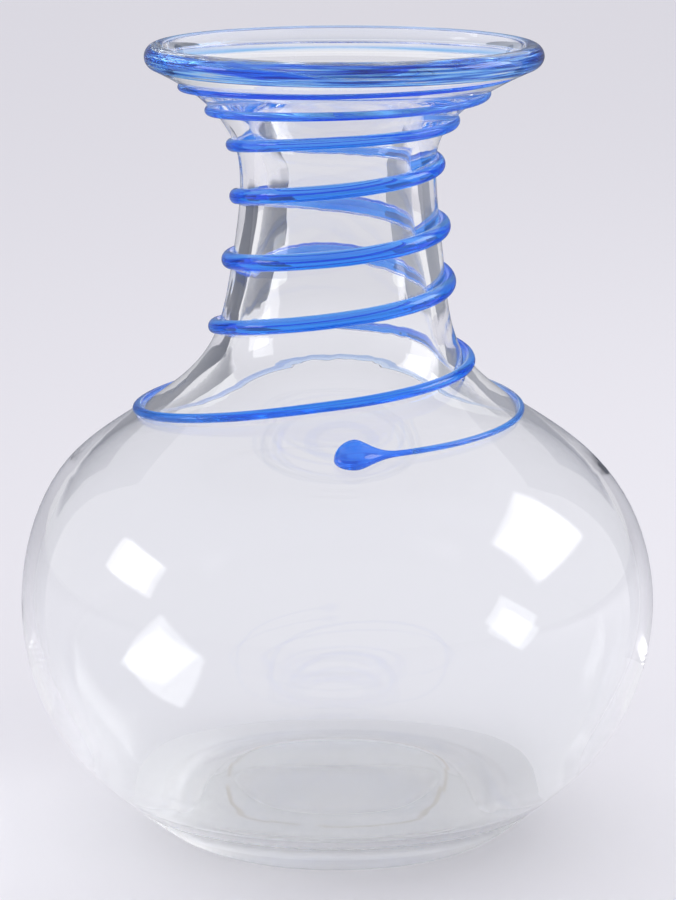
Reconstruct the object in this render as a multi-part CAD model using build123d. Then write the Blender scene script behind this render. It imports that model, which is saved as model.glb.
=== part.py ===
from build123d import *
import math
import os

# A blown glass hyacinth vase: a round belly, a narrow neck that holds the bulb above the water,
# and a flared mouth. Blue glass is wrapped round the lip and trailed down the neck.
# Millimetres. The origin is the middle of the resting ring, +Z is up, and -Y is the front.

# Outside of the clear glass, from the table up: the radius of each station, and how far it
# rises above the one below it
ring_radius = 36.0
ring_width = 2.5
foot_radius = 46.5
foot_rise = 5.2
flank_radius = 66.0
flank_rise = 17.3
belly_radius = 78.0
belly_rise = 36.5
crown_radius = 66.0
crown_rise = 33.5
shoulder_radius = 45.0
shoulder_rise = 15.7
root_radius = 30.5
root_rise = 14.3
heel_radius = 27.6
heel_rise = 8.7
stem_radius = 25.8
stem_rise = 11.8
waist_radius = 23.8
waist_rise = 21.0
throat_radius = 24.4
throat_rise = 6.5
collar_radius = 27.6
collar_rise = 6.5
flare_radius = 34.7
flare_rise = 6.7

# Rolled lip at the end of the flare, and the slopes that run into it outside and inside
lip_radius = 47.4
lip_rise = 12.0
lip_round = 3.0
flare_slope = 25.0
funnel_slope = 60.0

# Inside of the clear glass: a wall is measured square to the outside
kick_height = 2.0
kick_round = 2.0
floor_thickness = 10.5
moat_radius = 29.0
moat_depth = 0.5
foot_wall = 5.0
flank_wall = 3.5
belly_wall = 3.2
crown_wall = 3.2
shoulder_wall = 2.9
root_wall = 4.5
heel_wall = 4.2
stem_wall = 5.2
waist_wall = 6.0
throat_wall = 5.6
collar_wall = 5.2
flare_wall = 4.0

# Blue wrap melted round the outside of the lip
wrap_depth = 1.0
wrap_lift = 24.0

# Blue thread: at each quarter turn, how far down the glass from the flare's end it lies, as a
# share of its reach, and at each half turn how wide it is, as a share of its girth on the neck.
# It starts at the right and runs round the front to the left, then round the back.
thread_reach = 100.0
thread_down = [0.012, 0.043, 0.083, 0.097, 0.120, 0.144, 0.179, 0.194, 0.218, 0.242]
thread_down += [0.285, 0.308, 0.332, 0.370, 0.414, 0.461, 0.485, 0.530, 0.569, 0.570]
thread_down += [0.623, 0.677, 0.738, 0.775, 0.826, 0.899, 1.022, 0.935, 1.002, 1.070, 1.120]
thread_girth = 4.0
thread_width = [0.3, 0.475, 0.575, 0.65, 0.74, 0.825, 0.9, 0.975]
thread_width += [1.025, 1.025, 1.0, 0.925, 0.75, 0.6, 0.4, 0.4]
thread_start = 0.13
thread_half_turns = 14.38
thread_proud = 0.65
thread_seat = 0.95
sections_per_turn = 36
start_sections = 4

# Gather of blue glass that the thread was drawn from, at the thread's lower end
drop_width = 9.2
drop_proud = 3.6
drop_tail = 14.0
drop_nose = 5.0
nose_angle = 85.0
drop_sections = 9

# How strongly a curve of the profile holds its direction at its two ends
end_pull = [1.0, 1.0]

# Room left between pieces that are fused together on the real vase
fuse_gap = 0.2
wrap_gap = 0.05


def polar(radius, height):
    """A point of the profile, in the XZ plane."""
    return Vector(radius, 0, height)


def leaning(angle):
    """A unit vector in the XZ plane, at an angle above the horizontal."""
    return Vector(math.cos(math.radians(angle)), 0, math.sin(math.radians(angle)))


def between(values, place):
    """Read a list at a place between two of its entries, on a smooth curve through them all."""
    last = len(values) - 1
    left = min(int(place), last - 1)
    right = left + 1
    t = place - left
    slope_left = (values[right] - values[max(left - 1, 0)]) / 2
    slope_right = (values[min(right + 1, last)] - values[left]) / 2
    rise = values[right] - values[left]
    ease = 3 * t**2 - 2 * t**3
    return values[left] + rise * ease + t * (1 - t) * ((1 - t) * slope_left - t * slope_right)


# Heights of the stations above the table
foot_height = foot_rise
flank_height = foot_height + flank_rise
belly_height = flank_height + belly_rise
crown_height = belly_height + crown_rise
shoulder_height = crown_height + shoulder_rise
root_height = shoulder_height + root_rise
heel_height = root_height + heel_rise
stem_height = heel_height + stem_rise
waist_height = stem_height + waist_rise
throat_height = waist_height + throat_rise
collar_height = throat_height + collar_rise
flare_height = collar_height + flare_rise
lip_height = flare_height + lip_rise

# The rolled lip is a round about this centre, and the flare's two sides run into it
lip_centre = polar(lip_radius - lip_round, lip_height - lip_round)
lip_under = lip_centre + leaning(flare_slope - 90) * lip_round
lip_over = lip_centre + leaning(funnel_slope + 90) * lip_round
lip_tip = lip_centre + leaning((flare_slope + funnel_slope) / 2) * lip_round

outside = Spline(
    polar(ring_radius, 0),
    polar(foot_radius, foot_height),
    polar(flank_radius, flank_height),
    polar(belly_radius, belly_height),
    polar(crown_radius, crown_height),
    polar(shoulder_radius, shoulder_height),
    polar(root_radius, root_height),
    polar(heel_radius, heel_height),
    polar(stem_radius, stem_height),
    polar(waist_radius, waist_height),
    polar(throat_radius, throat_height),
    polar(collar_radius, collar_height),
    polar(flare_radius, flare_height),
    lip_under,
    tangents=[leaning(0), leaning(flare_slope)],
    tangent_scalars=end_pull,
)


def inward(radius, height, wall):
    """The point of the inside that lies one wall away from a station of the outside."""
    station = polar(radius, height)
    along = outside.tangent_at(outside.param_at_point(station))
    return station + Vector(-along.Z, 0, along.X) * wall


def make_vessel():
    """The clear glass, one gather: resting ring, kick, belly, neck, flare and rolled lip."""
    floor_height = kick_height + floor_thickness
    inside = Spline(
        lip_over,
        inward(flare_radius, flare_height, flare_wall),
        inward(collar_radius, collar_height, collar_wall),
        inward(throat_radius, throat_height, throat_wall),
        inward(waist_radius, waist_height, waist_wall),
        inward(stem_radius, stem_height, stem_wall),
        inward(heel_radius, heel_height, heel_wall),
        inward(root_radius, root_height, root_wall),
        inward(shoulder_radius, shoulder_height, shoulder_wall),
        inward(crown_radius, crown_height, crown_wall),
        inward(belly_radius, belly_height, belly_wall),
        inward(flank_radius, flank_height, flank_wall),
        inward(foot_radius, foot_height, foot_wall),
        polar(moat_radius, floor_height - moat_depth),
        polar(0, floor_height),
        tangents=[leaning(funnel_slope + 180), leaning(180)],
        tangent_scalars=end_pull,
    )
    ring_inner = ring_radius - ring_width
    kick_radius = (ring_inner**2 + kick_height**2) / (2 * kick_height)
    kick_half = math.degrees(math.asin(ring_inner / kick_radius)) / 2
    kick_side = polar(0, kick_height - kick_radius) + leaning(90 - kick_half) * kick_radius
    profile = [
        outside,
        ThreePointArc(lip_under, lip_tip, lip_over),
        inside,
        Line(polar(0, floor_height), polar(0, kick_height)),
        ThreePointArc(polar(0, kick_height), kick_side, polar(ring_inner, 0)),
        Line(polar(ring_inner, 0), polar(ring_radius, 0)),
    ]
    glass = revolve(make_face(profile), Axis.Z)
    resting = glass.faces().sort_by(Axis.Z)[0]
    kick_edge = resting.edges().sort_by(SortBy.RADIUS)[0]
    return fillet(kick_edge, kick_round)


def make_lip_wrap():
    """A crescent of blue glass: the lip's round moved up and out, less the lip itself."""
    moved = lip_centre + leaning(wrap_lift) * wrap_depth
    blue_round = Pos(*moved) * Rot(90, 0, 0) * Circle(lip_round)
    clear_round = Pos(*lip_centre) * Rot(90, 0, 0) * Circle(lip_round + wrap_gap)
    return revolve(blue_round - clear_round, Axis.Z)


def seat_at(half_turn):
    """Where the thread sits on the glass, a fuse gap off it, and the way out of the glass."""
    place = 1 - thread_reach * between(thread_down, 2 * half_turn) / outside.length
    along = outside.tangent_at(place)
    out = Vector(along.Z, 0, -along.X)
    seat = outside.position_at(place) + out * fuse_gap
    angle = -180 * half_turn
    return seat.rotate(Axis.Z, angle), out.rotate(Axis.Z, angle)


def width_at(half_turn):
    """The thread's width at a place along it."""
    return thread_girth * between(thread_width, half_turn)


def bead_section(half_turn, width, proud):
    """A section of blue glass square to the thread: a flat seat under a round back."""
    nudge = 0.01
    seat, out = seat_at(half_turn)
    ahead = seat_at(half_turn + nudge)[0]
    behind = seat_at(half_turn - nudge)[0]
    travel = (ahead - behind).normalized()
    across = travel.cross(out).normalized()
    half = width / 2
    radius = (half**2 + proud**2) / (2 * proud)
    middle = seat + out * (proud - radius)
    right = seat + across * half
    left = seat - across * half
    top = seat + out * proud
    right_side = middle + (right - middle + out * radius).normalized() * radius
    left_side = middle + (left - middle + out * radius).normalized() * radius
    back_right = Edge.make_three_point_arc(right, right_side, top)
    back_left = Edge.make_three_point_arc(top, left_side, left)
    return Face(Wire([Edge.make_line(left, right), back_right, back_left]))


def thread_section(half_turn):
    """The thread's own section at a place along it."""
    width = width_at(half_turn)
    return bead_section(half_turn, thread_seat * width, thread_proud * width)


def thread_places():
    """The half turns where the thread has a section. They lie closer where it starts."""
    run = thread_half_turns - thread_start
    count = round(run / 2 * sections_per_turn)
    steps = [i / start_sections for i in range(start_sections)] + list(range(1, count + 1))
    return [thread_start + run * step / count for step in steps]


def make_neck_trail():
    """The blue thread, one unbroken piece from the lip down to the gather."""
    return loft([thread_section(place) for place in thread_places()])


def make_trail_drop():
    """The gather: it swells out of the thread's end and closes in a round nose."""
    seat = seat_at(thread_half_turns)[0]
    half_turn_length = math.pi * math.hypot(seat.X, seat.Y)
    end_width = width_at(thread_half_turns)
    seat_start = thread_seat * end_width
    proud_start = thread_proud * end_width
    sections = [thread_section(thread_half_turns)]
    for i in range(1, drop_sections):
        swell = (i / (drop_sections - 1)) ** 2
        swell = swell * swell * (3 - 2 * swell)
        place = thread_half_turns + drop_tail * i / (drop_sections - 1) / half_turn_length
        width = seat_start + (drop_width - seat_start) * swell
        proud = proud_start + (drop_proud - proud_start) * swell
        sections.append(bead_section(place, width, proud))
    for i in range(1, drop_sections):
        angle = math.radians(nose_angle * i / (drop_sections - 1))
        place = thread_half_turns + (drop_tail + drop_nose * math.sin(angle)) / half_turn_length
        sections.append(bead_section(place, drop_width * math.cos(angle), drop_proud * math.cos(angle)))
    return loft(sections)


def least_gap():
    """The least room between one turn of the thread and another, measured on points."""
    points = [(p, seat_at(p)[0], width_at(p)) for p in thread_places()]
    return min((a - b).length - (v + w) / 2 for p, a, v in points for q, b, w in points if q - p > 1)


os.makedirs("parts", exist_ok=True)
export_step(make_vessel(), "parts/vessel.step")
export_step(make_lip_wrap(), "parts/lip_wrap.step")
export_step(make_neck_trail(), "parts/neck_trail.step")
export_step(make_trail_drop(), "parts/trail_drop.step")
print(f"least gap between turns of the thread: {least_gap():.2f} mm")
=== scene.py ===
import math

import bmesh
import bpy
import numpy as np
from bpy.props import FloatProperty, FloatVectorProperty, IntProperty, PointerProperty, StringProperty
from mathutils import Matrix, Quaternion, Vector, noise


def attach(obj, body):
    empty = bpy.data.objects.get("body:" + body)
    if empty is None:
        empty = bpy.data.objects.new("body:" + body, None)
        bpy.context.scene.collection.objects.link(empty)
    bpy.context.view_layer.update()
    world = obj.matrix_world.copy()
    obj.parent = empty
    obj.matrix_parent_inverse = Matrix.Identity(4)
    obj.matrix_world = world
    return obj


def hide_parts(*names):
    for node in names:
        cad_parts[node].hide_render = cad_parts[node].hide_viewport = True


bl_info = {
    "name": "Trailed Hyacinth Vase",
    "version": (1, 0, 0),
    "blender": (4, 5, 0),
    "location": "View3D > Sidebar > Vase",
    "description": "Blown hyacinth vase in clear glass, with blue glass on its lip and neck, in a studio",
    "category": "Add Mesh",
}

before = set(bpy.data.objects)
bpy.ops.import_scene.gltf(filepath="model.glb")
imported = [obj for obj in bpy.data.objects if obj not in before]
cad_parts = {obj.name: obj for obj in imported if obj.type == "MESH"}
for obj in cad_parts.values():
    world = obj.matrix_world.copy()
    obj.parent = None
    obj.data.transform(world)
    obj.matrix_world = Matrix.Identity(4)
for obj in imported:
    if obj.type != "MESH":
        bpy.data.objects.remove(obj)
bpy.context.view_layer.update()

MM = 0.001
# Points nearer to each other than this are one point, and a point this near to a surface lies on it
WELD = 0.001 * MM
TOUCH = 0.01 * MM
# The thread's section: its seat and girth by its width, how high it is widest by its height, and its points
SEAT_SHARE = 0.84
GIRTH_SHARE = 2.4
BEAD_BULGE = 0.36
BEAD_POINTS = 17
# How long the thread's tip is, in half turns
TAPER = 0.15
# Places of the outside that are measured between two stations
SKIN_STEPS = 60
# Material slots of the vessel, after the polished glass and the seam
# The worn slot is rough glass, and its grey tint is painted shade: the shaded table under the vase, seen
# through the base
WORN_AND_SHADED = 2
STAINED = 3
RUBBED = 4
# Soda-lime glass bends light this much, and light goes to and fro in it this often
GLASS_IOR = 1.5
GLASS_BOUNCES = 64
# What the glasses leave of the light that falls through them onto the floor
CLEAR_SHADE = "#FCFCFC"
THREAD_SHADE = "#BCD3FC"
WRAP_SHADE = "#CBDDFC"
# How far the lamps hang from the belly, the height that they point at, and their soft edge by their size
LAMP_REACH = 1.2
LAMP_AIM = 60 * MM
LAMP_FEATHER = 0.1
# Light that met glass more often than this goes past the cards, so they leave no dark patches in the base
CARD_BOUNCES = 4.5
STATIONS = (
    "foot", "flank", "belly", "crown", "shoulder", "root",
    "heel", "stem", "waist", "throat", "collar", "flare",
)


def length(name, description, value):
    """A length that the user can change, given in millimetres."""
    return FloatProperty(name=name, description=description, default=value * MM, unit="LENGTH", precision=5)


def lengths(name, description, *values):
    """A few lengths that belong together, given in millimetres."""
    metres = [value * MM for value in values]
    return FloatVectorProperty(
        name=name, description=description, size=len(metres), default=metres, unit="LENGTH", precision=5
    )


def angle(name, description, value):
    """An angle that the user can change, given in degrees."""
    return FloatProperty(name=name, description=description, default=math.radians(value), subtype="ANGLE")


def colour(name, description, code):
    """A colour that the user can change, as an sRGB hex value."""
    return StringProperty(name=name, description=description, default=code)


class ClearGlassSizes(bpy.types.PropertyGroup):
    """The clear glass. A station is a radius, a height and the wall there, square to the outside."""

    ring_radius: length("Ring radius", "Outer edge of the flat ring that the vase stands on", 36)
    ring_inner: length("Ring inner radius", "Where the kick under the base leaves the table", 33.6)
    foot: lengths("Foot", "Low under the belly", 46.5, 5.2, 5)
    flank: lengths("Flank", "Where the belly stands up", 66, 22.5, 3.5)
    belly: lengths("Belly", "The widest place", 78, 59, 3.2)
    crown: lengths("Crown", "Where the belly turns in", 66, 92.5, 3.2)
    shoulder: lengths("Shoulder", "Where the belly runs into the neck", 45, 108.2, 2.9)
    root: lengths("Root", "The foot of the neck", 30.5, 122.5, 4.5)
    heel: lengths("Heel", "Where the bore starts to open downwards", 27.6, 131.2, 4.2)
    stem: lengths("Stem", "The middle of the neck", 25.8, 143, 5.2)
    waist: lengths("Waist", "The narrowest place of the neck", 23.8, 164, 6)
    throat: lengths("Throat", "Where the bore starts to open", 24.4, 170.5, 5.6)
    collar: lengths("Collar", "Where the neck opens into the flare", 27.6, 177, 5.2)
    flare: lengths("Flare", "The middle of the flare", 34.7, 183.7, 4)
    lip: lengths("Lip", "Centre of the rolled lip and its round", 44.4, 192.7, 3)
    flare_slope: angle("Flare slope", "How steeply the outside of the flare runs into the lip", 25)
    funnel_slope: angle("Funnel slope", "How steeply the inside of the flare leaves the lip", 60)
    kick: lengths("Kick", "Height of the hollow under the base, and the place where it turns down", 2, 31)
    moat: lengths("Moat", "The lowest place of the floor inside", 29, 12)
    floor_height: length("Floor height", "The middle of the floor inside", 12.5)
    # Up to this height the underside is rough, and greyed as painted shade
    worn_and_shaded_height: length("Worn height", "How far up the underside is worn", 5)
    rubbed_height: length("Rubbed height", "How far up the foot is rubbed", 9)
    wear: FloatProperty(name="Wear", description="Roughness of the worn underside", default=0.4)
    rub: FloatProperty(name="Rub", description="Roughness of the rubbed foot", default=0.4)
    stain_radius: length("Stain radius", "The ring that water left on the floor inside", 27.5)
    drift: lengths(
        "Drift", "How far the hand-blown axis lies to the right, at equal steps from the table to the lip",
        -0.3, -0.5, -0.3, -0.2, -0.2, -0.6, -1.4, -1.3, -0.6, 0.0, 0.1, -0.3, 1.5,
    )
    ripple: length("Ripple", "Height of the ripples that the tool left in the bore", 0.05)
    spin_steps: IntProperty(name="Spin steps", description="Steps round the vase", default=240)


class BlueGlassSizes(bpy.types.PropertyGroup):
    """The blue glass. The thread starts at the right and runs round the front to the left."""

    wrap_depth: length("Wrap depth", "How far the blue on the lip stands out of the clear glass", 1)
    wrap_lift: angle("Wrap lift", "Which way it stands out, above the level", 24)
    down: lengths(
        "Down", "How far down the glass from the end of the flare the thread lies, at each quarter turn",
        1.2, 4.3, 8.3, 9.7, 12.0, 14.4, 17.9, 19.4, 21.8, 24.2, 28.5, 30.8, 33.2, 37.0, 41.4, 46.1,
        48.5, 53.0, 56.9, 57.0, 62.3, 67.7, 73.8, 77.5, 82.6, 89.9, 102.2, 93.5, 100.2, 107.0, 112.0,
    )
    width: lengths(
        "Width", "How wide the thread is, at each half turn",
        1.2, 1.9, 2.3, 2.6, 2.95, 3.3, 3.6, 3.9, 4.1, 4.1, 4.0, 3.7, 3.0, 2.4, 1.6, 1.6,
    )
    start: FloatProperty(name="Start", description="Where the thread starts, in half turns", default=0.13)
    half_turns: FloatProperty(name="Half turns", description="Where the drop starts", default=14.38)
    proud: FloatProperty(name="Proud", description="How far it stands out, by its width", default=0.65)
    drop: lengths("Drop", "Width of the drop, and how far it stands out", 9.2, 3.6)
    drop_run: lengths("Drop run", "Length of the drop's tail and of its nose", 14, 5)
    sections: IntProperty(name="Sections", description="Sections of the thread in half a turn", default=40)


class GlassColours(bpy.types.PropertyGroup):
    """Colours of the two glasses."""

    clear: colour("Clear glass", "Light after the clear glass", "#FCFDFD")
    # The worn base's grey is painted shade, for the shaded table under the vase seen through the base
    base: colour("Worn base", "Light after the worn underside", "#F0F0F0")
    deep: colour("Deep blue", "The darkest cords of the thread", "#003CEA")
    mid: colour("Mid blue", "The body of the thread", "#045AF8")
    pale: colour("Pale blue", "Where the thread is thin", "#3C9AFF")
    wrap_deep: colour("Deep wrap", "The darkest streaks on the lip", "#02146A")
    wrap_mid: colour("Mid wrap", "The body of the wrap", "#0644D0")
    wrap_pale: colour("Pale wrap", "Where the wrap is thin", "#46A0FA")
    # Hardly any blue here, and its grey is painted shade, for the dark room seen through the lip
    wrap_clear_and_shaded: colour("Clear wrap", "Where there is hardly any blue on the lip", "#98A0A0")
    wrap_behind: colour("Wrap behind", "The far side of the lip, with hardly any blue", "#E4EAF2")
    thin: colour("Thin thread", "The last turn behind, drawn out thin", "#B4D2F8")
    stain: colour("Stain", "The ring that water left on the floor inside", "#DCD0BE")


class StudioSettings(bpy.types.PropertyGroup):
    """Floor, light and camera."""

    floor: colour("Floor", "Plain pale floor", "#E8E7EB")
    sky: colour("Sky", "Soft light from all round", "#EFEEF3")
    left_power: FloatProperty(name="Left lamp", description="Power", default=1.9, unit="POWER")
    right_power: FloatProperty(name="Right lamp", description="Power", default=5.2, unit="POWER")
    left_flag: colour("Left flag", "The dark card that the left of the neck shows", "#646872")
    right_flag: colour("Right flag", "The paler card that the right of the neck shows", "#9EA2AA")
    edge_flag: colour("Edge flags", "The cards that the outline of the glass mirrors", "#868A92")
    camera_place: lengths("Camera", "Where the camera stands", 0, -971.85, 290.54)
    camera_tilt: angle("Camera tilt", "How far the camera is raised from looking straight down", 78.681)
    lens: FloatProperty(name="Lens", description="Focal length on a picture 36 mm tall", default=161.2)


SETTINGS = {
    "vase_clear": ClearGlassSizes,
    "vase_blue": BlueGlassSizes,
    "vase_colours": GlassColours,
    "vase_studio": StudioSettings,
}


def way(turn):
    """A unit vector of the profile, at an angle above the level."""
    return np.array([math.cos(turn), math.sin(turn)])


def smooth_run(points, start, end):
    """Bezier knots of a smooth curve through points, with its direction at each end."""
    points = np.array(points)
    gaps = np.linalg.norm(np.diff(points, axis=0), axis=1)
    rates = np.diff(points, axis=0) / gaps[:, None]
    system = np.eye(len(points))
    slopes = np.zeros_like(points)
    slopes[0] = start
    slopes[-1] = end
    for i in range(1, len(points) - 1):
        system[i, i - 1 : i + 2] = gaps[i], 2 * (gaps[i - 1] + gaps[i]), gaps[i - 1]
        slopes[i] = 3 * (gaps[i] * rates[i - 1] + gaps[i - 1] * rates[i])
    slopes = np.linalg.solve(system, slopes)
    before = points - slopes * np.append(gaps[:1], gaps)[:, None] / 3
    after = points + slopes * np.append(gaps, gaps[-1:])[:, None] / 3
    return np.stack([before, points, after], axis=1)


def round_run(centre, radius, first, last, parts):
    """Bezier knots of a round stretch from one angle to another."""
    turns = np.linspace(first, last, parts + 1)
    arm = 4 / 3 * math.tan((last - first) / parts / 4) * radius
    out = np.stack([np.cos(turns), np.sin(turns)], axis=1)
    along = np.stack([-np.sin(turns), np.cos(turns)], axis=1)
    knots = centre + radius * out
    return np.stack([knots - arm * along, knots, knots + arm * along], axis=1)


def trace(knots, steps):
    """Points along Bezier knots."""
    t = np.linspace(0, 1, steps, endpoint=False)[:, None]
    runs = [
        (1 - t) ** 3 * a[1] + 3 * (1 - t) ** 2 * t * a[2] + 3 * (1 - t) * t**2 * b[0] + t**3 * b[1]
        for a, b in zip(knots, knots[1:])
    ]
    return np.vstack(runs + [knots[-1:, 1]])


def between(values, place):
    """Read values at places between them, on a smooth curve through them all."""
    values = np.asarray(values)
    last = len(values) - 1
    left = np.clip(np.floor(place).astype(int), 0, last - 1)
    right = left + 1
    t = place - left
    slope_left = (values[right] - values[np.maximum(left - 1, 0)]) / 2
    slope_right = (values[np.minimum(right + 1, last)] - values[left]) / 2
    rise = values[right] - values[left]
    ease = 3 * t**2 - 2 * t**3
    return values[left] + rise * ease + t * (1 - t) * ((1 - t) * slope_left - t * slope_right)


def outside_run(sizes):
    """The outside of the clear glass, from the ring up to the lip."""
    stations = [tuple(getattr(sizes, name))[:2] for name in STATIONS]
    lip_under = np.array(sizes.lip[:2]) + way(sizes.flare_slope - math.pi / 2) * sizes.lip[2]
    points = [(sizes.ring_radius, 0), *stations, lip_under]
    return smooth_run(points, way(0), way(sizes.flare_slope))


def inside_run(sizes):
    """The inside of the clear glass, from the lip down to the middle of the floor."""
    outside = outside_run(sizes)
    points = [np.array(sizes.lip[:2]) + way(sizes.funnel_slope + math.pi / 2) * sizes.lip[2]]
    for i in reversed(range(len(STATIONS))):
        along = outside[i + 1, 2] - outside[i + 1, 0]
        along = along / np.linalg.norm(along)
        wall = getattr(sizes, STATIONS[i])[2]
        points.append(outside[i + 1, 1] + np.array([-along[1], along[0]]) * wall)
    points += [tuple(sizes.moat), (0, sizes.floor_height)]
    return smooth_run(points, way(sizes.funnel_slope + math.pi), way(math.pi))


class OuterSkin:
    """The outside of the clear glass, measured down the glass from the end of the flare."""

    def __init__(self, sizes):
        self.line = trace(outside_run(sizes), SKIN_STEPS)[::-1]
        steps = np.linalg.norm(np.diff(self.line, axis=0), axis=1)
        self.down = np.append(0, np.cumsum(steps))
        along = np.gradient(self.line, self.down, axis=0)
        self.out = np.stack([-along[:, 1], along[:, 0]], axis=1)

    def at(self, down):
        """Radius and height at a place, and the way out of the glass there."""
        columns = (*self.line.T, *self.out.T)
        return [np.interp(down, self.down, column) for column in columns]

    def down_at(self, height):
        """How far down the glass a height lies."""
        return np.interp(-height, -self.line[:, 1], self.down)

    def radius_at(self, height):
        """The radius of the outside at a height."""
        return np.interp(-height, -self.line[:, 1], self.line[:, 0])


def drift(sizes, points):
    """Move points sideways with the hand-blown axis."""
    steps = len(sizes.drift) - 1
    place = np.clip(points[:, 2] / sizes.lip[1], 0, 1) * steps
    points[:, 0] += between(sizes.drift, place)
    return points


def bead_size(blue, skin, half_turn):
    """Width of the blue glass and how far it stands out: the thread, then the drop, then nothing."""
    radius = skin.at(blue.down[-2])[0]
    tail, nose = blue.drop_run
    run = (half_turn - blue.half_turns) * math.pi * radius
    taper = np.sqrt(np.clip((half_turn - blue.start) / TAPER, 0, 1))
    thread = between(blue.width, np.clip(half_turn, 0, blue.half_turns)) * taper
    swell = np.clip(run / tail, 0, 1) ** 2
    swell = swell**2 * (3 - 2 * swell)
    close = np.sqrt(np.clip(1 - (np.clip(run - tail, 0, None) / nose) ** 2, 0, 1))
    width = (thread + (blue.drop[0] - thread) * swell) * close
    proud = (blue.proud * thread + (blue.drop[1] - blue.proud * thread) * swell) * close
    return width, proud


def beside_bead(blue, skin, turn, down):
    """How far places of the outside lie from the seat of the blue glass: less than 0 is under it."""
    beside = np.full(len(down), 1.0)
    for winding in range(math.ceil(blue.half_turns / 2)):
        half_turn = (-turn / math.pi) % 2 + 2 * winding
        width = bead_size(blue, skin, half_turn)[0]
        from_seat = np.abs(down - between(blue.down, 2 * half_turn)) - width * SEAT_SHARE / 2
        beside = np.where(width > 0, np.minimum(beside, from_seat), beside)
    return beside


def bead_outline(points):
    """The section of a bead of glass that sank a little onto the glass under it."""
    dip = math.acos(SEAT_SHARE)
    turns = np.linspace(-dip, math.pi + dip, points)
    rise = np.where(turns % (2 * math.pi) < math.pi, 1 - BEAD_BULGE, BEAD_BULGE / math.sin(dip))
    across = np.cos(turns)
    up = BEAD_BULGE + rise * np.sin(turns)
    seat = np.array([[0, 0], [SEAT_SHARE / 2, 0]])
    back = np.array([[-SEAT_SHARE / 2, 0], [0, 0]])
    return np.vstack([seat, np.stack([across, up], axis=1), back])


def draw_profile(name, runs):
    """A profile in the XZ plane: one Bezier curve for each run, with its own resolution."""
    bpy.ops.object.select_all(action="DESELECT")
    bpy.ops.curve.primitive_bezier_curve_add()
    profile = bpy.context.object
    profile.name = name
    splines = profile.data.splines
    splines.clear()
    for knots, steps in runs:
        spline = splines.new("BEZIER")
        spline.resolution_u = steps
        spline.bezier_points.add(len(knots) - 1)
        for point, (before, knot, after) in zip(spline.bezier_points, knots):
            point.handle_left_type = "FREE"
            point.handle_right_type = "FREE"
            point.co = (knot[0], 0, knot[1])
            point.handle_left = (before[0], 0, before[1])
            point.handle_right = (after[0], 0, after[1])
    return profile


def spin_profile(steps):
    """Turn the profile at hand into a closed mesh, all round the axis."""
    bpy.ops.object.convert(target="MESH")
    bpy.ops.object.mode_set(mode="EDIT")
    bpy.ops.mesh.select_all(action="SELECT")
    bpy.ops.mesh.remove_doubles(threshold=WELD)
    bpy.ops.mesh.select_all(action="SELECT")
    bpy.ops.mesh.spin(steps=steps, angle=2 * math.pi, center=(0, 0, 0), axis=(0, 0, 1))
    bpy.ops.mesh.select_all(action="SELECT")
    bpy.ops.mesh.remove_doubles(threshold=WELD)
    bpy.ops.mesh.normals_make_consistent(inside=False)
    bpy.ops.object.mode_set(mode="OBJECT")
    bpy.ops.object.shade_smooth()


def get_points(piece):
    """The points of a piece as an array."""
    points = np.empty(len(piece.data.vertices) * 3)
    piece.data.vertices.foreach_get("co", points)
    return points.reshape(-1, 3)


def set_points(piece, points):
    """Put the points of a piece in their places."""
    piece.data.vertices.foreach_set("co", points.ravel())
    piece.data.update()


def cut_seam(piece, side):
    """Cut a piece along the line where side, given at its points, is zero. Faces below zero are seam."""
    mesh = bmesh.new()
    mesh.from_mesh(piece.data)
    layer = mesh.verts.layers.float.new("side")
    for vert, value in zip(mesh.verts, side):
        vert[layer] = value
    for edge in list(mesh.edges):
        low, high = edge.verts
        if low[layer] * high[layer] < 0:
            share = low[layer] / (low[layer] - high[layer])
            bmesh.utils.edge_split(edge, low, share)[1][layer] = 0
    for face in list(mesh.faces):
        on_line = [loop for loop in face.loops if loop.vert[layer] == 0]
        if len(on_line) == 2 and on_line[0].link_loop_next != on_line[1] != on_line[0].link_loop_prev:
            bmesh.utils.face_split(face, on_line[0].vert, on_line[1].vert)
    for face in mesh.faces:
        face.material_index = sum(vert[layer] for vert in face.verts) < 0
    mesh.verts.layers.float.remove(layer)
    mesh.to_mesh(piece.data)
    mesh.free()


def face_centres(piece):
    """The middles of a piece's faces as an array."""
    centres = np.empty(len(piece.data.polygons) * 3)
    piece.data.polygons.foreach_get("center", centres)
    return centres.reshape(-1, 3)


def dress(piece, node, slot, *materials):
    """Give a piece its materials and let it stand for its CAD node."""
    for material in materials:
        piece.data.materials.append(material)
    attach(piece, "root")
    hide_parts(node)


def hex_colour(code):
    """An sRGB hex value as linear red, green and blue, with alpha."""
    parts = [int(code[i : i + 2], 16) / 255 for i in (1, 3, 5)]
    linear = [p / 12.92 if p <= 0.04045 else ((p + 0.055) / 1.055) ** 2.4 for p in parts]
    return (*linear, 1.0)


def add_node(tree, kind, inputs, **settings):
    """Add a node with its settings, and set or link its inputs by name or number."""
    node = tree.nodes.new(kind)
    for name, value in settings.items():
        setattr(node, name, value)
    for name, value in inputs.items():
        if isinstance(value, bpy.types.NodeSocket):
            tree.links.new(value, node.inputs[name])
        else:
            node.inputs[name].default_value = value
    return node


def start_material(name):
    """A new material with no nodes yet."""
    material = bpy.data.materials.get(name) or bpy.data.materials.new(name)
    material.use_nodes = True
    material.node_tree.nodes.clear()
    return material


def finish_glass(tree, body, shade):
    """Show the glass, but let the lamps shine through it onto the floor, in the colour of its shade."""
    path = add_node(tree, "ShaderNodeLightPath", {})
    through = add_node(tree, "ShaderNodeBsdfTransparent", {"Color": hex_colour(shade)})
    mix = add_node(
        tree, "ShaderNodeMixShader",
        {0: path.outputs["Is Shadow Ray"], 1: body.outputs[0], 2: through.outputs[0]},
    )
    add_node(tree, "ShaderNodeOutputMaterial", {"Surface": mix.outputs[0]})


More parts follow.
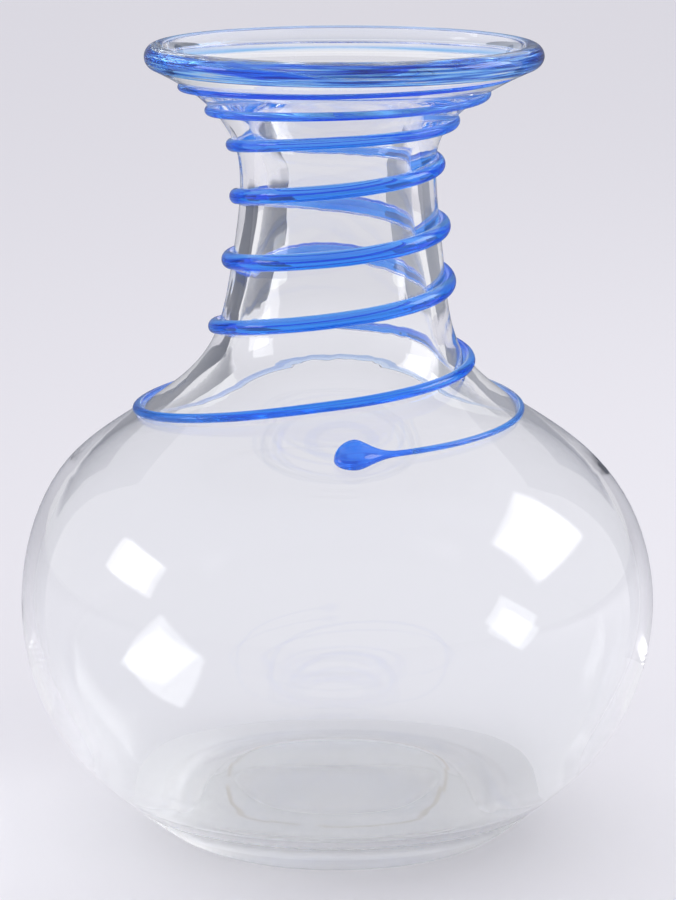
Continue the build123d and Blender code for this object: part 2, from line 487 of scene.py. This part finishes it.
def make_clear_glass(name, code, roughness):
    """Soda-lime glass, free blown: water-clear with a sharp gloss, or soft and blurred where it is worn."""
    material = start_material(name)
    tree = material.node_tree
    body = add_node(
        tree, "ShaderNodeBsdfPrincipled",
        {
            "Base Color": hex_colour(code),
            "Roughness": roughness,
            "IOR": GLASS_IOR,
            "Transmission Weight": 1.0,
        },
    )
    finish_glass(tree, body, CLEAR_SHADE)
    return material


def make_fused_seam():
    """Where two glasses melted together there is no surface to see."""
    material = start_material("fused_glass_seam")
    tree = material.node_tree
    clear = add_node(tree, "ShaderNodeBsdfTransparent", {})
    add_node(tree, "ShaderNodeOutputMaterial", {"Surface": clear.outputs[0]})
    return material


def make_blue_thread(name, colours, run, girth, clearness, paleness):
    """Blue glass drawn out in a thread, with fine cords along it: paler where thin, and painted light on
    its upper side.
    """
    material = start_material(name)
    tree = material.node_tree
    cord_length = 26 * MM
    cord_width = 0.5 * MM
    behind_depth = 20 * MM
    drawn_share = 0.3
    thin_most = 0.9
    place = add_node(tree, "ShaderNodeTexCoord", {})
    stretched = add_node(
        tree, "ShaderNodeMapping",
        {"Vector": place.outputs["UV"], "Scale": (run / cord_length, girth / cord_width, 1.0)},
    )
    cords = add_node(
        tree, "ShaderNodeTexNoise", {"Vector": stretched.outputs[0], "Scale": 1.0, "Detail": 2.0}
    )
    tint = add_node(tree, "ShaderNodeValToRGB", {"Fac": cords.outputs[0]})
    ramp = tint.color_ramp.elements
    ramp[0].position = 0.38
    ramp[0].color = hex_colour(colours.deep)
    ramp[1].position = 0.56
    ramp[1].color = hex_colour(colours.mid)
    part = add_node(tree, "ShaderNodeSeparateXYZ", {0: place.outputs["UV"]})
    # Painted light: the thread turns paler towards its upper side, as if lit from above
    above = add_node(
        tree, "ShaderNodeMapRange",
        {"Value": part.outputs["Y"], "From Min": 0.5, "From Max": 0.85, "To Min": paleness, "To Max": 0.8},
        interpolation_type="SMOOTHSTEP",
    )
    drawn = add_node(
        tree, "ShaderNodeMapRange",
        {"Value": part.outputs["X"], "From Min": 0.88, "From Max": 0.95, "To Max": drawn_share},
        interpolation_type="SMOOTHSTEP",
    )
    paler = add_node(
        tree, "ShaderNodeMath", {0: above.outputs[0], 1: drawn.outputs[0]}, operation="MAXIMUM"
    )
    thick_colour = add_node(
        tree, "ShaderNodeMix",
        {0: paler.outputs[0], 6: tint.outputs[0], 7: hex_colour(colours.pale)},
        data_type="RGBA",
    )
    spot = add_node(tree, "ShaderNodeSeparateXYZ", {0: place.outputs["Object"]})
    behind = add_node(
        tree, "ShaderNodeMapRange",
        {"Value": spot.outputs["Y"], "From Min": 0.0, "From Max": behind_depth},
        interpolation_type="SMOOTHSTEP",
    )
    thin = add_node(
        tree, "ShaderNodeMath", {0: behind.outputs[0], 1: drawn.outputs[0]}, operation="MULTIPLY"
    )
    thin_share = add_node(
        tree, "ShaderNodeMath", {0: thin.outputs[0], 1: thin_most / drawn_share}, operation="MULTIPLY"
    )
    body_colour = add_node(
        tree, "ShaderNodeMix",
        {0: thin_share.outputs[0], 6: thick_colour.outputs[2], 7: hex_colour(colours.thin)},
        data_type="RGBA",
    )
    body = add_node(
        tree, "ShaderNodeBsdfPrincipled",
        {
            "Base Color": body_colour.outputs[2],
            "Roughness": 0.0,
            "IOR": GLASS_IOR,
            "Transmission Weight": clearness,
        },
    )
    finish_glass(tree, body, THREAD_SHADE)
    return material


def make_blue_wrap(colours, top, height):
    """Blue glass melted round the lip: dark streaks in front, painted shade greying the top, a pale wash
    behind.
    """
    material = start_material("blue_glass_lip_wrap")
    tree = material.node_tree
    streak_length = 22 * MM
    streak_width = 0.5 * MM
    # The grey towards the top is painted shade: the dark room that the lip's upper edge shows
    grey_depth = 1.2 * MM
    wash_start = -12 * MM
    wash_end = 22 * MM
    place = add_node(tree, "ShaderNodeTexCoord", {})
    stretched = add_node(
        tree, "ShaderNodeMapping",
        {
            "Vector": place.outputs["Object"],
            "Scale": (1 / streak_length, 1 / streak_length, 1 / streak_width),
        },
    )
    streaks = add_node(
        tree, "ShaderNodeTexNoise", {"Vector": stretched.outputs[0], "Scale": 1.0, "Detail": 4.0}
    )
    part = add_node(tree, "ShaderNodeSeparateXYZ", {0: place.outputs["Object"]})
    # Painted shade: the wrap turns greyer towards its top
    on_top = add_node(
        tree, "ShaderNodeMapRange",
        {"Value": part.outputs["Z"], "From Min": top - grey_depth, "From Max": top, "To Max": 0.2},
        interpolation_type="SMOOTHSTEP",
    )
    amount = add_node(
        tree, "ShaderNodeMath", {0: streaks.outputs[0], 1: on_top.outputs[0]}, operation="ADD"
    )
    tint = add_node(tree, "ShaderNodeValToRGB", {"Fac": amount.outputs[0]})
    ramp = tint.color_ramp.elements
    ramp[0].position = 0.4
    ramp[0].color = hex_colour(colours.wrap_deep)
    ramp[1].position = 0.66
    ramp[1].color = hex_colour(colours.wrap_clear_and_shaded)
    for position, code in ((0.47, colours.wrap_mid), (0.58, colours.wrap_pale)):
        ramp.new(position).color = hex_colour(code)
    level = add_node(
        tree, "ShaderNodeMapRange",
        {"Value": part.outputs["Z"], "From Min": top - height, "From Max": top},
    )
    lines = add_node(tree, "ShaderNodeValToRGB", {"Fac": level.outputs[0]})
    ramp = lines.color_ramp.elements
    ramp[0].position = 0.04
    ramp[0].color = hex_colour(colours.wrap_deep)
    ramp[1].position = 1.0
    ramp[1].color = hex_colour(colours.wrap_pale)
    for position, code in ((0.14, colours.wrap_behind), (0.9, colours.wrap_behind)):
        ramp.new(position).color = hex_colour(code)
    behind = add_node(
        tree, "ShaderNodeMapRange",
        {"Value": part.outputs["Y"], "From Min": wash_start, "From Max": wash_end},
        interpolation_type="SMOOTHSTEP",
    )
    body_colour = add_node(
        tree, "ShaderNodeMix",
        {0: behind.outputs[0], 6: tint.outputs[0], 7: lines.outputs[0]},
        data_type="RGBA",
    )
    body = add_node(
        tree, "ShaderNodeBsdfPrincipled",
        {
            "Base Color": body_colour.outputs[2],
            "Roughness": 0.0,
            "IOR": GLASS_IOR,
            "Transmission Weight": 1.0,
        },
    )
    finish_glass(tree, body, WRAP_SHADE)
    return material


class VASE_OT_blow_vessel(bpy.types.Operator):
    """Blow the clear glass: ring, belly, neck, flare and rolled lip, as one closed wall"""

    bl_idname = "vase.blow_vessel"
    bl_label = "Blow the Vessel"

    def execute(self, context):
        sizes = context.scene.vase_clear
        blue = context.scene.vase_blue
        colours = context.scene.vase_colours
        lip = np.array(sizes.lip[:2])
        lip_ends = sizes.flare_slope - math.pi / 2, sizes.funnel_slope + math.pi / 2
        kick_radius = (sizes.ring_inner**2 + sizes.kick[0] ** 2) / (2 * sizes.kick[0])
        kick_turn = sizes.kick[0] - kick_radius + math.sqrt(kick_radius**2 - sizes.kick[1] ** 2)
        kick_points = [(0, sizes.kick[0]), (sizes.kick[1], kick_turn), (sizes.ring_inner, 0)]
        flat = [(sizes.ring_inner, 0), (sizes.ring_radius, 0)]
        # Rows lie close on shoulder and neck, where the blue is fused, and on the stained floor
        profile = draw_profile(
            "vessel_glass",
            [
                (outside_run(sizes)[:5], 11),
                (outside_run(sizes)[4:8], 24),
                (outside_run(sizes)[7:], 18),
                (round_run(lip, sizes.lip[2], *lip_ends, 4), 6),
                (inside_run(sizes)[:-1], 6),
                (inside_run(sizes)[-2:], 36),
                (smooth_run(kick_points, way(0), way(0)), 6),
                (smooth_run(flat, way(0), way(0)), 2),
            ],
        )
        spin_profile(sizes.spin_steps)
        skin = OuterSkin(sizes)
        points = get_points(profile)
        radius = np.hypot(points[:, 0], points[:, 1])
        least_wall = 1 * MM
        ripple_width = 2.2 * MM
        ripple_stretch = 3
        inside = radius < skin.radius_at(points[:, 2]) - least_wall
        in_neck = inside & (points[:, 2] > sizes.root[1]) & (points[:, 2] < sizes.collar[1])
        for i in np.nonzero(in_neck)[0]:
            x, y, z = points[i]
            wave = noise.noise(Vector((x, y, z / ripple_stretch)) / ripple_width)
            points[i, :2] *= 1 + sizes.ripple * wave / radius[i]
        height = points[:, 2]
        turn = np.arctan2(points[:, 1], points[:, 0])
        on_skin = (np.abs(radius - skin.radius_at(height)) < TOUCH) & (height > sizes.crown[1])
        side = np.where(on_skin, beside_bead(blue, skin, turn, skin.down_at(height)), 1.0)
        from_lip = np.arctan2(height - lip[1], radius - lip[0])
        on_lip = np.abs(np.hypot(height - lip[1], radius - lip[0]) - sizes.lip[2]) < TOUCH
        half_wrap = math.acos(blue.wrap_depth / 2 / sizes.lip[2])
        beside_wrap = (np.abs(from_lip - blue.wrap_lift) - half_wrap) * sizes.lip[2]
        side = np.where(on_lip, np.minimum(side, beside_wrap), side)
        set_points(profile, drift(sizes, points))
        cut_seam(profile, side)
        self.wear_base(profile, sizes)
        clear = make_clear_glass("clear_glass_fire_polished", colours.clear, 0.0)
        # The worn base is rough, and greyed as painted shade for the table under the vase
        base = make_clear_glass("clear_glass_worn_base", colours.base, sizes.wear)
        stain = make_clear_glass("clear_glass_water_stain", colours.stain, 0.0)
        foot = make_clear_glass("clear_glass_rubbed_foot", colours.clear, sizes.rub)
        dress(profile, "vessel", "clear_glass", clear, make_fused_seam(), base, stain, foot)
        return {"FINISHED"}

    def wear_base(self, vessel, sizes):
        """Mark the worn underside with its painted shade, the rubbed foot and the broken ring water left
        inside.
        """
        x, y, z = face_centres(vessel).T
        reach = np.hypot(x, y)
        turn = np.arctan2(y, x)
        slots = np.empty(len(z), dtype=np.int32)
        vessel.data.polygons.foreach_get("material_index", slots)
        slots[z < sizes.rubbed_height] = RUBBED
        # The worn underside, rough and greyed as painted shade
        slots[z < sizes.worn_and_shaded_height] = WORN_AND_SHADED
        floor_rise = 1 * MM
        half_width = 0.42 * MM
        on_floor = (z > sizes.rubbed_height) & (z < sizes.floor_height + floor_rise)
        wander = 0.03 * np.sin(3 * turn) * np.cos(turn)
        from_ring = np.abs(reach - sizes.stain_radius * (1 + wander))
        left_whole = np.sin(5 * turn + 1) + np.sin(11 * turn) > -1.7
        slots[on_floor & (from_ring < half_width) & left_whole] = STAINED
        vessel.data.polygons.foreach_set("material_index", slots)


class VASE_OT_wrap_lip(bpy.types.Operator):
    """Wrap the lip in blue glass, a crescent that is thickest at the lip's outer edge"""

    bl_idname = "vase.wrap_lip"
    bl_label = "Wrap the Lip"

    def execute(self, context):
        sizes = context.scene.vase_clear
        blue = context.scene.vase_blue
        lip = np.array(sizes.lip[:2])
        moved = lip + way(blue.wrap_lift) * blue.wrap_depth
        half_clear = math.acos(blue.wrap_depth / 2 / sizes.lip[2])
        half_blue = math.pi - half_clear
        lift = blue.wrap_lift
        wrap = draw_profile(
            "lip_wrap_glass",
            [
                (round_run(lip, sizes.lip[2], lift - half_clear, lift + half_clear, 4), 6),
                (round_run(moved, sizes.lip[2], lift - half_blue, lift + half_blue, 4), 8),
            ],
        )
        spin_profile(sizes.spin_steps)
        centres = face_centres(wrap)
        radius = np.hypot(centres[:, 0], centres[:, 1])
        seam = np.hypot(radius - lip[0], centres[:, 2] - lip[1]) < sizes.lip[2] + WELD
        set_points(wrap, drift(sizes, get_points(wrap)))
        wrap.data.polygons.foreach_set("material_index", seam.astype(np.int32))
        wrap_top = moved[1] + sizes.lip[2]
        glass = make_blue_wrap(context.scene.vase_colours, wrap_top, 2 * sizes.lip[2])
        dress(wrap, "lip_wrap", "blue_glass", glass, make_fused_seam())
        return {"FINISHED"}


def lay_bead(name, context, half_turns, node, clearness, paleness):
    """Roll a grid into a bead of blue glass that lies on the outside of the vase."""
    sizes = context.scene.vase_clear
    blue = context.scene.vase_blue
    skin = OuterSkin(sizes)
    outline = bead_outline(BEAD_POINTS)
    along = len(half_turns) - 1
    around = len(outline) - 1
    bpy.ops.object.select_all(action="DESELECT")
    bpy.ops.mesh.primitive_grid_add(x_subdivisions=along, y_subdivisions=around, size=1)
    bead = context.object
    bead.name = name
    width, proud = bead_size(blue, skin, half_turns)
    middle = between(blue.down, 2 * half_turns)
    across = outline[:, 0, None] * width / 2
    up = outline[:, 1, None] * proud
    radius, height, out_level, out_up = skin.at(middle + across)
    radius = radius + out_level * up
    height = height + out_up * up
    turn = -math.pi * half_turns
    points = np.stack([radius * np.cos(turn), radius * np.sin(turn), height], axis=2).reshape(-1, 3)
    row = np.repeat(np.arange(around), along)
    seat = (row < 2) | (row >= around - 2)
    bead.data.polygons.foreach_set("material_index", seat.astype(np.int32))
    set_points(bead, drift(sizes, points))
    bpy.ops.object.mode_set(mode="EDIT")
    bpy.ops.mesh.select_all(action="SELECT")
    bpy.ops.mesh.remove_doubles(threshold=WELD)
    bpy.ops.mesh.select_all(action="SELECT")
    bpy.ops.mesh.fill_holes(sides=0)
    bpy.ops.mesh.select_all(action="SELECT")
    bpy.ops.mesh.normals_make_consistent(inside=False)
    bpy.ops.object.mode_set(mode="OBJECT")
    bpy.ops.object.shade_smooth()
    steps = np.diff(points.reshape(around + 1, along + 1, 3)[around // 2], axis=0)
    run = np.linalg.norm(steps, axis=1).sum()
    girth = GIRTH_SHARE * width.max()
    colours = context.scene.vase_colours
    glass = make_blue_thread("blue_glass_" + node, colours, run, girth, clearness, paleness)
    dress(bead, node, "blue_glass", glass, make_fused_seam())


class VASE_OT_trail_neck(bpy.types.Operator):
    """Trail the blue thread round the neck, from the lip down to the shoulder"""

    bl_idname = "vase.trail_neck"
    bl_label = "Trail the Neck"

    def execute(self, context):
        blue = context.scene.vase_blue
        count = round(blue.half_turns * blue.sections)
        half_turns = np.linspace(blue.start, blue.half_turns, count + 1)
        lay_bead("neck_trail_glass", context, half_turns, "neck_trail", clearness=0.9, paleness=0.0)
        return {"FINISHED"}


class VASE_OT_set_drop(bpy.types.Operator):
    """Set the drop of blue glass that the thread was drawn from on the shoulder"""

    bl_idname = "vase.set_drop"
    bl_label = "Set the Drop"

    def execute(self, context):
        blue = context.scene.vase_blue
        skin = OuterSkin(context.scene.vase_clear)
        tail, nose = blue.drop_run
        half_turn = math.pi * skin.at(blue.down[-2])[0]
        swell_sections = 24
        close_sections = 14
        close_turn = math.radians(88)
        swelling = np.linspace(0, tail, swell_sections)
        closing = tail + nose * np.sin(np.linspace(0, close_turn, close_sections)[1:])
        half_turns = blue.half_turns + np.append(swelling, closing) / half_turn
        lay_bead("trail_drop_glass", context, half_turns, "trail_drop", clearness=0.4, paleness=0.25)
        return {"FINISHED"}


class VASE_OT_set_stage(bpy.types.Operator):
    """Lay the floor, stand the cards, hang the two soft lamps and set the camera"""

    bl_idname = "vase.set_stage"
    bl_label = "Set the Stage"

    def execute(self, context):
        scene = context.scene
        studio = scene.vase_studio
        bpy.ops.object.select_all(action="DESELECT")
        bpy.ops.mesh.primitive_circle_add(
            vertices=96, radius=6, fill_type="NGON", location=(0, 0, -0.2 * MM)
        )
        floor = context.object
        floor.name = "floor"
        paper = start_material("floor_paper")
        body = add_node(
            paper.node_tree, "ShaderNodeBsdfPrincipled",
            {"Base Color": hex_colour(studio.floor), "Roughness": 0.9, "Specular IOR Level": 0.1},
        )
        add_node(paper.node_tree, "ShaderNodeOutputMaterial", {"Surface": body.outputs[0]})
        floor.data.materials.append(paper)
        neck = {"reach": 320 * MM, "heights": (102 * MM, 210 * MM), "fade": 12 * MM}
        edge = {"reach": 200 * MM, "heights": (0, 250 * MM), "fade": 80 * MM}
        left = self.stand_flag("left_flag", studio.left_flag, sides=(-13, -50), **neck)
        right = self.stand_flag("right_flag", studio.right_flag, sides=(13, 45), **neck)
        left_edge = self.stand_flag("left_edge_flag", studio.edge_flag, sides=(-8, -70), **edge)
        right_edge = self.stand_flag("right_edge_flag", studio.edge_flag, sides=(8, 70), **edge)
        for card in (left, right):
            card.visible_glossy = False
        for card in (left_edge, right_edge):
            card.visible_transmission = False
        self.hang_lamp("left_lamp", studio.left_power, side=-82, lift=19, roll=-6, size=(0.5, 0.32))
        self.hang_lamp("right_lamp", studio.right_power, side=95, lift=30.5, roll=7.5, size=(0.75, 0.56))
        world = bpy.data.worlds.new("soft_sky")
        world.use_nodes = True
        world.node_tree.nodes.clear()
        sky = add_node(
            world.node_tree, "ShaderNodeBackground", {"Color": hex_colour(studio.sky), "Strength": 1.0}
        )
        add_node(world.node_tree, "ShaderNodeOutputWorld", {"Surface": sky.outputs[0]})
        scene.world = world
        bpy.ops.object.camera_add(location=studio.camera_place, rotation=(studio.camera_tilt, 0, 0))
        camera = context.object
        camera.data.sensor_fit = "VERTICAL"
        camera.data.sensor_height = 36
        camera.data.lens = studio.lens
        scene.camera = camera
        scene.view_settings.view_transform = "Standard"
        scene.cycles.max_bounces = GLASS_BOUNCES
        scene.cycles.glossy_bounces = GLASS_BOUNCES
        scene.cycles.transmission_bounces = GLASS_BOUNCES
        scene.cycles.transparent_max_bounces = GLASS_BOUNCES
        return {"FINISHED"}

    def hang_lamp(self, name, power, side, lift, roll, size):
        """Hang a soft lamp that points at the belly: degrees to the right of the front, up and turned."""
        side = math.radians(side)
        lift = math.radians(lift)
        out = Vector((math.sin(side) * math.cos(lift), -math.cos(side) * math.cos(lift), math.sin(lift)))
        place = Vector((0, 0, LAMP_AIM)) + out * LAMP_REACH
        turn = (out.to_track_quat("Z", "Y") @ Quaternion((0, 0, 1), math.radians(roll))).to_euler()
        bpy.ops.object.light_add(type="AREA", location=place, rotation=turn)
        lamp = bpy.context.object
        lamp.name = name
        lamp.data.shape = "RECTANGLE"
        lamp.data.size, lamp.data.size_y = size
        lamp.data.energy = power
        lamp.data.use_nodes = True
        tree = lamp.data.node_tree
        tree.nodes.clear()
        spot = add_node(tree, "ShaderNodeNewGeometry", {})
        part = add_node(tree, "ShaderNodeSeparateXYZ", {0: spot.outputs["Parametric"]})
        soft = []
        for axis in ("X", "Y"):
            inwards = add_node(
                tree, "ShaderNodeMath", {0: part.outputs[axis], 1: 0.5}, operation="PINGPONG"
            )
            edge = add_node(
                tree, "ShaderNodeMapRange",
                {"Value": inwards.outputs[0], "From Min": 0.0, "From Max": LAMP_FEATHER},
                interpolation_type="SMOOTHSTEP",
            )
            soft.append(edge.outputs[0])
        glow = add_node(tree, "ShaderNodeMath", {0: soft[0], 1: soft[1]}, operation="MULTIPLY")
        light = add_node(tree, "ShaderNodeEmission", {"Strength": glow.outputs[0]})
        add_node(tree, "ShaderNodeOutputLight", {"Surface": light.outputs[0]})

    def stand_flag(self, name, code, sides, reach, heights, fade):
        """Stand a card behind the vase that only glass shows: degrees to the right of straight behind.

        It fades into the floor's colour towards its lower edge.
        """
        ends = [
            (math.sin(math.radians(side)) * reach, math.cos(math.radians(side)) * reach) for side in sides
        ]
        bpy.ops.mesh.primitive_plane_add(size=1)
        card = bpy.context.object
        card.name = name
        corners = [(*end, height) for height in heights for end in ends]
        for vert, corner in zip(card.data.vertices, corners):
            vert.co = corner
        felt = start_material(name + "_felt")
        tree = felt.node_tree
        place = add_node(tree, "ShaderNodeTexCoord", {})
        part = add_node(tree, "ShaderNodeSeparateXYZ", {0: place.outputs["Object"]})
        up = add_node(
            tree, "ShaderNodeMapRange",
            {"Value": part.outputs["Z"], "From Min": heights[0], "From Max": heights[0] + fade},
            interpolation_type="SMOOTHSTEP",
        )
        floor_colour = hex_colour(bpy.context.scene.vase_studio.floor)
        shade = add_node(
            tree, "ShaderNodeMix",
            {0: up.outputs[0], 6: floor_colour, 7: hex_colour(code)},
            data_type="RGBA",
        )
        body = add_node(
            tree, "ShaderNodeBsdfPrincipled",
            {"Base Color": shade.outputs[2], "Roughness": 1.0, "Specular IOR Level": 0.0},
        )
        path = add_node(tree, "ShaderNodeLightPath", {})
        far = add_node(
            tree, "ShaderNodeMath",
            {0: path.outputs["Ray Depth"], 1: CARD_BOUNCES},
            operation="GREATER_THAN",
        )
        past = add_node(tree, "ShaderNodeBsdfTransparent", {})
        mix = add_node(
            tree, "ShaderNodeMixShader", {0: far.outputs[0], 1: body.outputs[0], 2: past.outputs[0]}
        )
        add_node(tree, "ShaderNodeOutputMaterial", {"Surface": mix.outputs[0]})
        card.data.materials.append(felt)
        card.visible_camera = False
        card.visible_diffuse = False
        card.visible_shadow = False
        return card


class VASE_PT_panel(bpy.types.Panel):
    """The steps of making the vase, and its sizes"""

    bl_label = "Hyacinth Vase"
    bl_idname = "VASE_PT_panel"
    bl_space_type = "VIEW_3D"
    bl_region_type = "UI"
    bl_category = "Vase"

    def draw(self, context):
        for step in STEPS:
            self.layout.operator(step.bl_idname)
        for name, group in SETTINGS.items():
            box = self.layout.box()
            for field in group.__annotations__:
                box.prop(getattr(context.scene, name), field)


STEPS = (
    VASE_OT_blow_vessel,
    VASE_OT_wrap_lip,
    VASE_OT_trail_neck,
    VASE_OT_set_drop,
    VASE_OT_set_stage,
)
CLASSES = (*SETTINGS.values(), *STEPS, VASE_PT_panel)


def register():
    for cls in CLASSES:
        bpy.utils.register_class(cls)
    for name, group in SETTINGS.items():
        setattr(bpy.types.Scene, name, PointerProperty(type=group))


def unregister():
    for name in SETTINGS:
        delattr(bpy.types.Scene, name)
    for cls in reversed(CLASSES):
        bpy.utils.unregister_class(cls)


def main():
    register()
    bpy.ops.vase.blow_vessel()
    bpy.ops.vase.wrap_lip()
    bpy.ops.vase.trail_neck()
    bpy.ops.vase.set_drop()
    bpy.ops.vase.set_stage()


if __name__ == "__main__":
    main()
